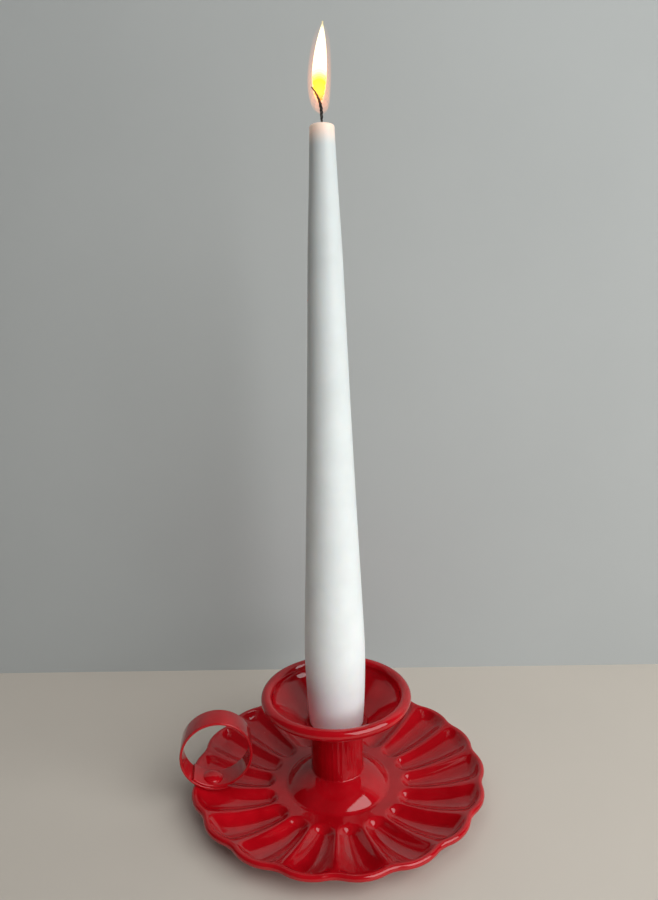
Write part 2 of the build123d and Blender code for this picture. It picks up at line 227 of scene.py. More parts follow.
class Finishes(bpy.types.PropertyGroup):
    enamel: colour("Enamel", "Red of the enamel", 0.47, 0.0035, 0.009)
    enamel_deep: colour("Deep enamel", "Red where the enamel lies thicker", 0.38, 0.002, 0.006)
    dust: colour("Dust", "Fine specks in the enamel", 0.62, 0.12, 0.1)
    wax: colour("Wax", "White of the wax", 0.93, 0.95, 0.95)
    wax_grey: colour("Grey wax", "Slightly greyer wax between", 0.88, 0.9, 0.9)
    # Painted shade: how much darker the wax is painted towards its top.
    wax_painted_shade: colour("Dull wax", "How the smoke dulls the wax towards the top", 0.72, 0.74, 0.74)
    # Painted flame light: the warm tint painted on the wax near its top, also the colour it emits.
    wax_painted_flame_light: colour("Warm wax", "Wax tinted by the flame", 0.93, 0.7, 0.58)
    char: colour("Char", "Burnt cotton", 0.012, 0.01, 0.009)
    ash: colour("Ash", "Grey ash on the burnt cotton", 0.13, 0.115, 0.105)
    cotton: colour("Cotton", "Cotton soaked with wax", 0.6, 0.52, 0.42)
    steel: colour("Steel", "Plain steel of the hidden fasteners", 0.5, 0.5, 0.51)
    steel_dull: colour("Dull steel", "Steel where it is scuffed", 0.33, 0.33, 0.335)
    flame_core: colour("Flame core", "Bright middle of the flame", 1.0, 0.88, 0.55)
    flame_low: colour("Flame low", "Yellow lower part of the core", 1.0, 0.7, 0.015)
    flame_foot: colour("Flame foot", "Orange foot of the core", 1.0, 0.4, 0.12)
    flame_edge: colour("Flame edge", "Outer glow of the flame", 1.0, 0.27, 0.03)
    floor: colour("Floor", "Pale floor", 0.63, 0.56, 0.49)
    backdrop: colour("Backdrop", "Pale backdrop", 0.475, 0.485, 0.48)


class StageSizes(bpy.types.PropertyGroup):
    camera_x: length("Camera X", "Camera's place across", -40.35)
    camera_y: length("Camera Y", "Camera's place in depth", -286.8)
    camera_z: length("Camera Z", "Camera's height above the floor", 216.2)
    heading: angle("Heading", "Turn of the camera to the right of +Y", 7.93)
    pitch: angle("Pitch", "Tilt of the camera below the horizon", 10.51)
    roll: angle("Roll", "Turn of the camera about its own axis", -1.44)
    lens: FloatProperty(
        name="Lens", description="Focal length on the sensor", default=27.26, subtype="DISTANCE_CAMERA"
    )
    backdrop_y: length("Backdrop Y", "Distance of the backdrop behind the candle", 112.0)
    backdrop_turn: angle("Backdrop turn", "Turn of the backdrop to face the camera", 9.2)
    # Painted shade: the backdrop's colour is darkened between these two radii.
    backdrop_lit: length("Backdrop lit", "Radius of the backdrop's lit middle", 340.0)
    backdrop_dark: length("Backdrop dark", "Radius where the backdrop has faded into the dark", 600.0)
    room: length("Room", "Half the width of the floor", 3000.0)


class Chamberstick(bpy.types.PropertyGroup):
    dish: PointerProperty(type=DishSizes)
    socket: PointerProperty(type=SocketSizes)
    bowl: PointerProperty(type=BowlSizes)
    loop: PointerProperty(type=LoopSizes)
    rivet: PointerProperty(type=RivetSizes)
    candle: PointerProperty(type=CandleSizes)
    wick: PointerProperty(type=WickSizes)
    flame: PointerProperty(type=FlameSizes)
    finishes: PointerProperty(type=Finishes)
    stage: PointerProperty(type=StageSizes)


# Lines in a plane through the candle's axis, as radius and height
def arc(centre, radius, first, last, steps):
    """Points along an arc."""
    points = []
    for step in range(steps + 1):
        turn = first + (last - first) * step / steps
        points.append((centre[0] + radius * cos(turn), centre[1] + radius * sin(turn)))
    return points


def rounded(corners, radii, steps=6):
    """Line through corners, each inner one rounded with its own radius."""
    points = [tuple(corners[0])]
    for index, radius in enumerate(radii):
        corner = Vector(corners[index + 1])
        back = (Vector(corners[index]) - corner).normalized()
        ahead = (Vector(corners[index + 2]) - corner).normalized()
        half = back.angle(ahead) / 2
        centre = corner + (back + ahead).normalized() * radius / sin(half)
        start = corner + back * radius / tan(half) - centre
        sweep = (pi - 2 * half) * (1 if back.cross(ahead) < 0 else -1)
        first = atan2(start.y, start.x)
        points += arc(centre, radius, first, first + sweep, steps)
    points.append(tuple(corners[-1]))
    return points


def between(first, last, steps):
    """Even stations from first to last, both included."""
    return [first + (last - first) * step / steps for step in range(steps + 1)]


# Meshes
def draw_line(mesh, points, closed):
    """Vertices and edges of a line in the XZ plane."""
    verts = [mesh.verts.new((radius, 0, height)) for radius, height in points]
    pairs = list(zip(verts, verts[1:]))
    if closed:
        pairs.append((verts[-1], verts[0]))
    return verts + [mesh.edges.new(pair) for pair in pairs]


def close_up(mesh):
    """Merge doubles and turn every face outwards."""
    bmesh.ops.remove_doubles(mesh, verts=mesh.verts, dist=1e-7)
    bmesh.ops.recalc_face_normals(mesh, faces=mesh.faces)


def turned(points, steps, closed=True):
    """Mesh turned from a line about the candle's axis."""
    mesh = bmesh.new()
    line = draw_line(mesh, points, closed)
    bmesh.ops.spin(
        mesh, geom=line, cent=(0, 0, 0), axis=(0, 0, 1), angle=2 * pi, steps=steps, use_merge=True
    )
    close_up(mesh)
    return mesh


def repeat_round(mesh, copies):
    """Repeat the whole mesh about the candle's axis, evenly round the full turn."""
    first = mesh.verts[:] + mesh.edges[:] + mesh.faces[:]
    for copy in range(1, copies):
        made = bmesh.ops.duplicate(mesh, geom=first)["geom"]
        verts = [item for item in made if isinstance(item, bmesh.types.BMVert)]
        turn = Matrix.Rotation(2 * pi * copy / copies, 3, "Z")
        bmesh.ops.rotate(mesh, verts=verts, cent=(0, 0, 0), matrix=turn)


def place_object(name, mesh, material):
    """Smooth-shaded object at the origin, made from a bmesh."""
    data = bpy.data.meshes.new(name)
    mesh.to_mesh(data)
    mesh.free()
    data.shade_smooth()
    data.set_sharp_from_angle(angle=SHARP_ANGLE)
    data.materials.append(material)
    made = bpy.data.objects.new(name, data)
    bpy.context.scene.collection.objects.link(made)
    return made


def place_piece(name, mesh, material, body, node):
    """Object that stands for a CAD node and rides on its body."""
    piece = place_object(name, mesh, material)
    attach(piece, body)
    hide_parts(node)
    return piece


# Materials
def add_node(tree, kind, inputs, **settings):
    """Shader node with its inputs set or linked."""
    node = tree.nodes.new(kind)
    for name, value in settings.items():
        setattr(node, name, value)
    for name, value in inputs.items():
        if isinstance(value, bpy.types.NodeSocket):
            tree.links.new(value, node.inputs[name])
        else:
            node.inputs[name].default_value = value
    return node


def add_ramp(tree, factor, *stops):
    """Colour ramp with stops given as position and colour."""
    ramp = add_node(tree, "ShaderNodeValToRGB", {"Fac": factor})
    elements = ramp.color_ramp.elements
    for index, (position, shade) in enumerate(stops):
        element = elements[index] if index < len(elements) else elements.new(position)
        element.position = position
        element.color = shade
    return ramp.outputs["Color"]


def add_mix(tree, factor, first, second):
    """Mix of two colours."""
    mix = tree.nodes.new("ShaderNodeMix")
    mix.data_type = "RGBA"
    for index, value in ((0, factor), (6, first), (7, second)):
        if isinstance(value, bpy.types.NodeSocket):
            tree.links.new(value, mix.inputs[index])
        else:
            mix.inputs[index].default_value = value
    return mix.outputs[2]


def add_noise(tree, place, scale, detail=2.0):
    """Noise about as fine as one over its scale, in metres."""
    noise = add_node(tree, "ShaderNodeTexNoise", {"Vector": place, "Scale": scale, "Detail": detail})
    return noise.outputs["Fac"]


def add_bump(tree, height, strength, distance):
    """Bump from a height."""
    bump = add_node(
        tree, "ShaderNodeBump", {"Height": height, "Strength": strength, "Distance": distance}
    )
    return bump.outputs["Normal"]


def start_material(name):
    """New material with its tree, shader and Object coordinates."""
    material = bpy.data.materials.new(name)
    material.use_nodes = True
    tree = material.node_tree
    shader = tree.nodes["Principled BSDF"]
    place = tree.nodes.new("ShaderNodeTexCoord").outputs["Object"]
    return material, tree, shader, place


def grey(value):
    """Grey of a ramp stop."""
    return (value, value, value, 1)


ENAMEL_BLOTCH, ENAMEL_SPECKS, ENAMEL_PEEL, ENAMEL_STREAKS, ENAMEL_WIPES = 90.0, 260.0, 420.0, 38.0, 35.0
ENAMEL_GLOSSY, ENAMEL_DULLER = 0.035, 0.075
ENAMEL_IOR = 1.54


def red_enamel(finishes, name="poured_enamel", streaked=False):
    """Glossy red enamel, a little deeper in places, with orange peel and a few dust specks."""
    found = bpy.data.materials.get(name)
    if found:
        return found
    material, tree, shader, place = start_material(name)
    blotch = add_noise(tree, place, ENAMEL_BLOTCH)
    red = add_ramp(tree, blotch, (0.35, finishes.enamel_deep), (0.65, finishes.enamel))
    cells = add_node(tree, "ShaderNodeTexVoronoi", {"Vector": place, "Scale": ENAMEL_SPECKS})
    near = add_ramp(tree, cells.outputs["Distance"], (0.03, grey(1)), (0.075, grey(0)))
    chosen = add_ramp(tree, cells.outputs["Color"], (0.78, grey(0)), (0.8, grey(1)))
    both = add_node(tree, "ShaderNodeMath", {0: near, 1: chosen}, operation="MULTIPLY")
    speck = both.outputs["Value"]
    tree.links.new(add_mix(tree, speck, red, finishes.dust), shader.inputs["Base Color"])
    peel = add_noise(tree, place, ENAMEL_PEEL, 1.0)
    relief = add_node(tree, "ShaderNodeMath", {0: speck, 1: peel}, operation="ADD")
    normal = add_bump(tree, relief.outputs["Value"], 0.06, 0.2 * MM)
    if streaked:
        around = add_node(tree, "ShaderNodeTexGradient", {"Vector": place}, gradient_type="RADIAL")
        streak = add_node(
            tree, "ShaderNodeTexNoise",
            {"W": around.outputs["Fac"], "Scale": ENAMEL_STREAKS, "Detail": 1.0},
            noise_dimensions="1D",
        )
        drawn = add_node(
            tree, "ShaderNodeBump",
            {"Height": streak.outputs["Fac"], "Strength": 0.35, "Distance": 0.6 * MM, "Normal": normal},
        )
        normal = drawn.outputs["Normal"]
    tree.links.new(normal, shader.inputs["Normal"])
    wiped = add_noise(tree, place, ENAMEL_WIPES, 3.0)
    gloss = add_ramp(tree, wiped, (0.3, grey(ENAMEL_GLOSSY)), (0.7, grey(ENAMEL_DULLER)))
    tree.links.new(gloss, shader.inputs["Roughness"])
    shader.inputs["IOR"].default_value = ENAMEL_IOR
    return material


WAX_CLOUDS, WAX_RIPPLES, WAX_HANDLING = 70.0, 260.0, 45.0
WAX_RIPPLE_STRETCH = (1, 1, 0.12)
WAX_GLOSSY, WAX_DULLER = 0.36, 0.52
WAX_DEPTH = 5 * MM
WAX_IOR = 1.44


def candle_wax(finishes, candle):
    """Satin white wax with faint long ripples, painted shade that darkens it towards the top, and a
    painted warm tint and glow of the flame's light at the top.
    """
    material, tree, shader, place = start_material("white_wax")
    cloud = add_noise(tree, place, WAX_CLOUDS, 3.0)
    white = add_ramp(tree, cloud, (0.35, finishes.wax_grey), (0.65, finishes.wax))
    height = add_node(tree, "ShaderNodeSeparateXYZ", {"Vector": place}).outputs["Z"]
    foot, top = (corner.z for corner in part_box("candle"))
    # Painted shade: the wax is multiplied darker from its foot to its top.
    painted_shade_share = add_node(
        tree, "ShaderNodeMapRange", {"Value": height, "From Min": foot, "From Max": top}
    )
    painted_shade_wax = add_node(
        tree, "ShaderNodeMix", {0: painted_shade_share.outputs["Result"], 6: white, 7: finishes.wax_painted_shade},
        data_type="RGBA", blend_type="MULTIPLY",
    )
    # Painted flame light: a warm tint that grows towards the top.
    painted_flame_light = add_node(
        tree, "ShaderNodeMapRange",
        {"Value": height, "From Min": top - candle.flame_light_height, "From Max": top},
        interpolation_type="SMOOTHSTEP",
    ).outputs["Result"]
    painted_flame_tint = add_mix(tree, painted_flame_light, painted_shade_wax.outputs[2], finishes.wax_painted_flame_light)
    tree.links.new(painted_flame_tint, shader.inputs["Base Color"])
    stretched = add_node(
        tree, "ShaderNodeMapping", {"Vector": place, "Scale": WAX_RIPPLE_STRETCH}
    )
    ripple = add_noise(tree, stretched.outputs["Vector"], WAX_RIPPLES, 3.0)
    tree.links.new(add_bump(tree, ripple, 0.12, 0.4 * MM), shader.inputs["Normal"])
    handled = add_noise(tree, place, WAX_HANDLING, 4.0)
    satin = add_ramp(tree, handled, (0.3, grey(WAX_GLOSSY)), (0.7, grey(WAX_DULLER)))
    tree.links.new(satin, shader.inputs["Roughness"])
    # Painted glow: the wax near the top emits light, though it is no lamp.
    glow = add_node(tree, "ShaderNodeMath", {0: painted_flame_light, 1: candle.glow}, operation="MULTIPLY")
    tree.links.new(glow.outputs["Value"], shader.inputs["Emission Strength"])
    shader.inputs["Emission Color"].default_value = finishes.wax_painted_flame_light
    shader.inputs["Subsurface Weight"].default_value = 0.35
    shader.inputs["Subsurface Radius"].default_value = (1.0, 0.75, 0.6)
    shader.inputs["Subsurface Scale"].default_value = WAX_DEPTH
    shader.inputs["IOR"].default_value = WAX_IOR
    return material


COTTON_FIBRES = 1400.0
CHAR_HEIGHT = 1.5 * MM


def burnt_cotton(finishes):
    """Waxy cotton that is burnt black above the candle, with grey ash on it."""
    material, tree, shader, place = start_material("burnt_cotton")
    fleck = add_noise(tree, place, COTTON_FIBRES, 4.0)
    burnt = add_ramp(tree, fleck, (0.45, finishes.char), (0.75, finishes.ash))
    height = add_node(tree, "ShaderNodeSeparateXYZ", {"Vector": place}).outputs["Z"]
    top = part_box("candle")[1].z
    charred = add_node(
        tree, "ShaderNodeMapRange",
        {"Value": height, "From Min": top, "From Max": top + CHAR_HEIGHT},
    ).outputs["Result"]
    tree.links.new(add_mix(tree, charred, finishes.cotton, burnt), shader.inputs["Base Color"])
    tree.links.new(add_bump(tree, fleck, 0.5, 0.2 * MM), shader.inputs["Normal"])
    shader.inputs["Roughness"].default_value = 0.85
    return material


STEEL_SCUFFS = 500.0


def plain_steel(finishes):
    """Turned steel with fine scuffs."""
    material, tree, shader, place = start_material("scuffed_steel")
    scuff = add_noise(tree, place, STEEL_SCUFFS, 4.0)
    bright = add_ramp(tree, scuff, (0.35, finishes.steel_dull), (0.7, finishes.steel))
    tree.links.new(bright, shader.inputs["Base Color"])
    rubbed = add_ramp(tree, scuff, (0.3, grey(0.5)), (0.7, grey(0.3)))
    tree.links.new(rubbed, shader.inputs["Roughness"])
    tree.links.new(add_bump(tree, scuff, 0.1, 0.2 * MM), shader.inputs["Normal"])
    shader.inputs["Metallic"].default_value = 1.0
    return material


# Dish
def smooth_step(value):
    """Rise from 0 to 1 with level ends."""
    value = min(max(value, 0.0), 1.0)
    return value * value * (3 - 2 * value)


def valley(value, breadth):
    """Depth of a round valley with a round crest: 1 in its middle, 0 on the crest."""
    if value <= breadth:
        return 1 - value * value / breadth
    return (1 - value) ** 2 / (1 - breadth)


class DishForm:
    """Heights and radii of the dish, worked out from its sizes."""

    def __init__(self, dish, socket):
        self.dish = dish
        self.lip_top = dish.crest_radius - dish.lip_roll
        self.lip_lean = atan(dish.ridge_power * dish.lip_rise / (self.lip_top - dish.scoop_start))
        foot_rise = self.ridge_height(dish.scoop_start + dish.scoop_run, 0)
        self.ring = dish.sheet - dish.foot_flat + dish.scoop_depth - foot_rise
        self.seat = self.ring + dish.dome_rise
        self.floor_radius = socket.radius - socket.corner
        squares = dish.dome_radius ** 2 - self.floor_radius ** 2 + dish.dome_rise ** 2
        depth = squares / (2 * dish.dome_rise)
        self.ball_height = self.seat - depth
        self.ball = hypot(depth, self.floor_radius)
        self.fillet_height = self.ring + dish.dome_fillet
        rise = self.fillet_height - self.ball_height
        self.fillet_radius = sqrt((self.ball + dish.dome_fillet) ** 2 - rise ** 2)
        self.fillet_lean = atan(self.fillet_radius / rise)

    def lip(self, part):
        """Radius of the lip's top, a part of half a flute away from a scoop's middle."""
        return self.lip_top - self.dish.notch_depth * (1 - valley(part, self.dish.lobe_breadth))

    def ridge_end(self, part):
        """Radius where the saucer's curve runs into the rolled lip."""
        return self.lip(part) - self.dish.lip_roll * sin(self.lip_lean)

    def ridge_height(self, radius, part):
        """Height of a ridge's crest above the level ring."""
        start = self.dish.scoop_start
        reach = max(radius - start, 0) / (self.ridge_end(part) - start)
        return self.dish.lip_rise * reach ** self.dish.ridge_power

    def scoop_fall(self, radius, part):
        """How far the dish lies below its ridges' curve."""
        dish = self.dish
        start = dish.scoop_start + dish.scoop_round * (1 - sqrt(max(1 - part * part, 0)))
        wall = self.ridge_end(part) - dish.wall_run
        inner = smooth_step((radius - start) / dish.scoop_run)
        climb = min(max((radius - wall) / (dish.wall_run - dish.wall_inset), 0), 1)
        outer = valley(climb, dish.wall_breadth)
        return dish.scoop_depth * valley(part, dish.scoop_breadth) * inner * outer

    def flute_line(self, part):
        """Upper face from the level ring to the lip's lower edge."""
        dish = self.dish
        inner_end = dish.scoop_start + dish.scoop_round + dish.scoop_run
        wall = self.ridge_end(part) - dish.wall_run
        stations = between(dish.scoop_start, inner_end, 20)
        stations += between(inner_end, wall, 12)[1:]
        stations += between(wall, self.ridge_end(part), 18)[1:]
        points = []
        for radius in stations:
            height = self.ring + self.ridge_height(radius, part) - self.scoop_fall(radius, part)
            points.append((radius, height))
        roll_height = self.ring + dish.lip_rise - dish.lip_roll * cos(self.lip_lean)
        points += arc((self.lip(part), roll_height), dish.lip_roll, pi / 2 + self.lip_lean, 0, 16)[1:]
        points.append((self.lip(part) + dish.lip_roll, roll_height - dish.lip_skirt + dish.sheet / 2))
        return points

    def lower_side(self, points):
        """Points one sheet below a line, square to it."""
        lowered = []
        last = len(points) - 1
        for index, (radius, height) in enumerate(points):
            before = points[max(index - 1, 0)]
            after = points[min(index + 1, last)]
            along = Vector((after[0] - before[0], after[1] - before[1])).normalized()
            down = height - self.dish.sheet * along.x
            lowered.append((radius + self.dish.sheet * along.y, max(down, 0)))
        return lowered

    def outline(self, part):
        """Closed outline of the sheet, over the top from the rivet hole to the lip and back below."""
        dish = self.dish
        dome_top = asin(self.floor_radius / self.ball)
        below = self.ball - dish.sheet
        dome_top_below = acos((self.seat - dish.sheet - self.ball_height) / below)
        hollow = (self.fillet_radius, self.fillet_height)
        hollow_end = -pi / 2 - self.fillet_lean
        upper = self.flute_line(part)
        edge = (upper[-1][0] - dish.sheet / 2, upper[-1][1])
        cap = arc((0, self.ball_height), self.ball, pi / 2 - dome_top, pi / 2 - self.fillet_lean, 16)
        cap_below = arc(
            (0, self.ball_height), below, pi / 2 - self.fillet_lean, pi / 2 - dome_top_below, 10
        )
        points = [(dish.rivet_hole, self.seat)]
        points += cap
        points += arc(hollow, dish.dome_fillet, hollow_end, -pi / 2, 10)[1:]
        points += upper
        points += arc(edge, dish.sheet / 2, 0, -pi, 8)[1:-1]
        points += reversed(self.lower_side(upper))
        points += arc(hollow, dish.dome_fillet + dish.sheet, -pi / 2, hollow_end, 8)
        points += cap_below[1:]
        points.append((dish.rivet_hole, self.seat - dish.sheet))
        return points


STEPS_PER_FLUTE = 24


class CHAMBERSTICK_OT_dish(bpy.types.Operator):
    """Turn the dish from its outline and press the flutes into it"""

    bl_idname = "chamberstick.make_dish"
    bl_label = "Dish"

    def execute(self, context):
        sizes = context.scene.chamberstick
        form = DishForm(sizes.dish, sizes.socket)
        half = STEPS_PER_FLUTE // 2
        outlines = [form.outline(step / half) for step in range(half + 1)]
        mesh = bmesh.new()
        station = mesh.verts.layers.int.new("station")
        line = draw_line(mesh, outlines[0], True)
        for index in range(len(outlines[0])):
            line[index][station] = index
        flute = 2 * pi / sizes.dish.flutes
        bmesh.ops.spin(
            mesh, geom=line, cent=(0, 0, 0), axis=(0, 0, 1), angle=flute, steps=STEPS_PER_FLUTE
        )
        for vert in mesh.verts:
            step = round(atan2(vert.co.y, vert.co.x) / flute * STEPS_PER_FLUTE)
            turn = pi + flute * (step / STEPS_PER_FLUTE + 1 / 2)
            radius, height = outlines[min(step, STEPS_PER_FLUTE - step)][vert[station]]
            vert.co = (radius * cos(turn), radius * sin(turn), height)
        repeat_round(mesh, sizes.dish.flutes)
        close_up(mesh)
        enamel = red_enamel(sizes.finishes)
        place_piece("fluted_dish", mesh, enamel, HOLDER, "dish")
        return {"FINISHED"}


# Socket and bowl
class SocketForm:
    """Heights of the socket and its mouth, worked out from its sizes."""

    def __init__(self, sizes):
        socket = sizes.socket
        self.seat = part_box("candle_socket")[0].z
        self.slope = tan(sizes.bowl.cone)
        self.stretch = 1 / cos(sizes.bowl.cone)
        self.bowl_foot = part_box("drip_bowl")[0].z
        self.bowl_floor = self.bowl_foot + sizes.bowl.sheet * self.stretch
        self.flange_foot = self.bowl_floor + sizes.bowl.seat_gap
        self.bore = socket.radius - socket.sheet
        self.mouth = self.flange_foot + socket.flange_sheet * self.stretch - socket.sheet * self.slope

    def joint_line(self, socket, dome):
        """Hollow line of the enamel between the dome and the socket's side, from the dome up."""
        middle_radius = socket.radius + socket.joint
        middle_height = dome.ball_height + sqrt((dome.ball + socket.joint) ** 2 - middle_radius ** 2)
        lean = asin(middle_radius / (dome.ball + socket.joint))
        return arc((middle_radius, middle_height), socket.joint, -pi / 2 - lean, -pi, 8)


SOCKET_STEPS = 160
FLANGE_ROUND_SHARE = 0.4


class CHAMBERSTICK_OT_socket(bpy.types.Operator):
    """Turn the deep-drawn candle socket with its bead and flange"""

    bl_idname = "chamberstick.make_socket"
    bl_label = "Candle socket"

    def execute(self, context):
        sizes = context.scene.chamberstick
        socket = sizes.socket
        form = SocketForm(sizes)
        bead = (socket.radius, form.bowl_foot - socket.bead)
        flange_radius = socket.radius + socket.flange_width
        flange_low = (flange_radius, form.flange_foot + socket.flange_width * form.slope)
        flange_high = (flange_radius, flange_low[1] + socket.flange_sheet * form.stretch)
        flange_round = FLANGE_ROUND_SHARE * socket.flange_sheet
        floor_radius = socket.radius - socket.corner
        inner_corner = (floor_radius, form.seat + socket.corner)
        points = [(sizes.dish.rivet_hole, form.seat), (floor_radius, form.seat)]
        points += form.joint_line(socket, DishForm(sizes.dish, socket))
        points += arc(bead, socket.bead, -pi / 2, pi / 2, 10)
        points += rounded(
            [(socket.radius, form.flange_foot), flange_low, flange_high, (form.bore, form.mouth)],
            [flange_round, flange_round],
        )
        points += arc(inner_corner, socket.corner - socket.sheet, 0, -pi / 2, 6)
        points.append((sizes.dish.rivet_hole, form.seat + socket.sheet))
        mesh = turned(points, SOCKET_STEPS)
        enamel = red_enamel(sizes.finishes, "drawn_enamel", streaked=True)
        place_piece("socket_cup", mesh, enamel, HOLDER, "candle_socket")
        return {"FINISHED"}


BOWL_STEPS = 240
BEND_STEPS = 14


class CHAMBERSTICK_OT_bowl(bpy.types.Operator):
    """Turn the drip bowl and curl its rim over"""

    bl_idname = "chamberstick.make_bowl"
    bl_label = "Drip bowl"

    def execute(self, context):
        sizes = context.scene.chamberstick
        bowl = sizes.bowl
        form = SocketForm(sizes)
        hole = sizes.socket.radius + bowl.seat_gap
        wall = bowl.rim_radius - bowl.bead
        knee = form.bowl_floor + (wall - hole) * form.slope
        rim = (bowl.rim_radius, knee + bowl.upright)
        curl_end = pi - bowl.curl
        bend_rise = (bowl.bend_radius - hole) * form.slope
        inside = [
            (hole, form.bowl_floor),
            (bowl.bend_radius, form.bowl_floor + bend_rise - bowl.sag),
            (wall, knee),
            (wall, rim[1]),
        ]
        under = wall + bowl.sheet
        outside = [
            (hole, form.bowl_foot),
            (bowl.bend_radius, form.bowl_foot + bend_rise - bowl.under_sag),
            (under, form.bowl_foot + (under - hole) * form.slope),
            (under, rim[1]),
        ]
        edge_radius = bowl.bead - bowl.sheet / 2
        edge = (rim[0] + edge_radius * cos(curl_end), rim[1] + edge_radius * sin(curl_end))
        points = rounded(inside, [bowl.bend_round, bowl.fillet], BEND_STEPS)
        points += arc(rim, bowl.bead, pi, curl_end, 40)[1:]
        points += arc(edge, bowl.sheet / 2, curl_end, curl_end - pi, 8)[1:-1]
        points += arc(rim, bowl.bead - bowl.sheet, curl_end, pi, 24)
        below = rounded(outside, [bowl.bend_round, bowl.fillet + bowl.sheet], BEND_STEPS)
        points += below[-2::-1]
        mesh = turned(points, BOWL_STEPS)
        enamel = red_enamel(sizes.finishes)
        place_piece("rolled_bowl", mesh, enamel, HOLDER, "drip_bowl")
        return {"FINISHED"}


# Finger loop and its rivet
class LoopForm:
    """Centres of the loop's two circles and the frame that it stands in."""

    def __init__(self, sizes):
        loop = sizes.loop
        dish = DishForm(sizes.dish, sizes.socket)
        span = dish.ridge_end(1) - sizes.dish.scoop_start
        place = sizes.dish.crest_radius - loop.inset
        reach = (place - sizes.dish.scoop_start) / span
        power = sizes.dish.ridge_power
        ridge_lean = atan(power * sizes.dish.lip_rise * reach ** (power - 1) / span)
        self.tilt = ridge_lean - loop.lean
        self.centre = (loop.radius + loop.seat_gap) / cos(self.tilt)
        self.lap = loop.strap + loop.lap_gap
        self.inside = loop.radius - loop.strap - self.lap
        seat = dish.ring + dish.ridge_height(place, 1)
        self.frame = Matrix.Translation((-place, 0, seat)) @ Matrix.Rotation(loop.lean, 4, "Y")


class CHAMBERSTICK_OT_loop(bpy.types.Operator):
    """Bend the finger loop's strap into a ring with lapped ends"""

    bl_idname = "chamberstick.make_loop"
    bl_label = "Finger loop"

    def execute(self, context):
        sizes = context.scene.chamberstick
        loop = sizes.loop
        form = LoopForm(sizes)
        low = form.centre - form.lap / 2
        start = form.inside - form.lap / 2 + loop.strap / 2
        mesh = bmesh.new()
        side = bmesh.ops.create_grid(mesh, x_segments=1, y_segments=1, size=0.5)
        bmesh.ops.scale(mesh, vec=(loop.strap, loop.width, 1), verts=side["verts"])
        bmesh.ops.bevel(
            mesh, geom=side["verts"], offset=loop.edge_round, offset_type="OFFSET", affect="VERTICES",
            segments=5, profile=0.5, material=-1,
        )
        stand = Matrix.Translation((0, 0, low)) @ Matrix.Rotation(pi / 2 + loop.inner_tail, 4, "Y")
        bmesh.ops.transform(mesh, matrix=stand @ Matrix.Translation((start, 0, 0)), verts=mesh.verts)
        end = mesh.verts[:] + mesh.edges[:] + mesh.faces[:]
        for height, turn, steps in (
            (low, loop.inner_tail, 16),
            (form.centre, pi, 72),
            (low, pi, 72),
            (form.centre, loop.outer_tail, 10),
        ):
            spun = bmesh.ops.spin(
                mesh, geom=end, cent=(0, 0, height), axis=(0, -1, 0), angle=turn, steps=steps
            )
            end = spun["geom_last"]
        close_up(mesh)
        bmesh.ops.transform(mesh, matrix=form.frame, verts=mesh.verts)
        enamel = red_enamel(sizes.finishes)
        place_piece("loop_strap", mesh, enamel, HOLDER, "finger_loop")
        return {"FINISHED"}


RIVET_STEPS = 72
HEAD_SWELL_SHARE = 0.5
HEAD_DROP_SHARE = 0.6


class CHAMBERSTICK_OT_loop_rivet(bpy.types.Operator):
    """Turn the loop's domed rivet and seat its head on the curved strap"""

    bl_idname = "chamberstick.make_loop_rivet"
    bl_label = "Loop rivet"

    def execute(self, context):
        sizes = context.scene.chamberstick
        rivet = sizes.rivet
        form = LoopForm(sizes)
        foot = form.centre - form.inside
        edge = foot + form.inside - sqrt(form.inside ** 2 - rivet.head ** 2) + rivet.head_edge
        ball = (rivet.head ** 2 + rivet.crown ** 2) / (2 * rivet.crown)
        crown = edge + rivet.crown
        tail_low = self.tail_height(form)
        tail_high = tail_low + rivet.tail_height
        lean = asin(rivet.head / ball)
        points = arc((0, crown - ball), ball, pi / 2, pi / 2 - lean, 12)
        side = rivet.head + HEAD_SWELL_SHARE * rivet.head_round
        points += [(side, edge - HEAD_DROP_SHARE * rivet.head_round), (side, foot)]
        points += [(rivet.shank, foot), (rivet.shank, tail_high)]
        points += rounded(
            [(rivet.shank, tail_high), (rivet.tail, tail_high), (rivet.tail, tail_low), (0, tail_low)],
            [rivet.head_round, rivet.head_round],
        )[1:]
        mesh = turned(points, RIVET_STEPS, closed=False)
        for vert in mesh.verts:
            if abs(vert.co.z - foot) < 1e-6 and hypot(vert.co.x, vert.co.y) > rivet.shank * 1.5:
                vert.co.z = form.centre - sqrt(form.inside ** 2 - vert.co.x ** 2)
        bmesh.ops.transform(mesh, matrix=form.frame, verts=mesh.verts)
        enamel = red_enamel(sizes.finishes)
        place_piece("domed_rivet", mesh, enamel, HOLDER, "loop_rivet")
        return {"FINISHED"}

    def tail_height(self, form):
        """Height of the rivet's lower end in the loop's frame."""
        into_loop = form.frame.inverted()
        return min((into_loop @ vert.co).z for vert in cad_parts["loop_rivet"].data.vertices)


class CHAMBERSTICK_OT_fasteners(bpy.types.Operator):
    """Finish the socket's rivet and the two washers in plain steel"""

    bl_idname = "chamberstick.finish_fasteners"
    bl_label = "Hidden fasteners"

    def execute(self, context):
        steel = plain_steel(context.scene.chamberstick.finishes)
        for node in ("socket_rivet", "socket_rivet_washer", "loop_rivet_washer"):
            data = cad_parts[node].data
            data.materials.clear()
            data.materials.append(steel)
        return {"FINISHED"}


# Candle, wick and flame
# The candle's form as shares: height above its shoulder of its free length, radius of its greatest one
CANDLE_FORM_SHARES = (
    (0.04, 0.956),
    (0.106, 1.0),
    (0.152, 0.998),
    (0.214, 0.953),
    (0.38, 0.818),
    (0.538, 0.7),
    (0.692, 0.599),
    (0.808, 0.526),
    (0.919, 0.425),
)


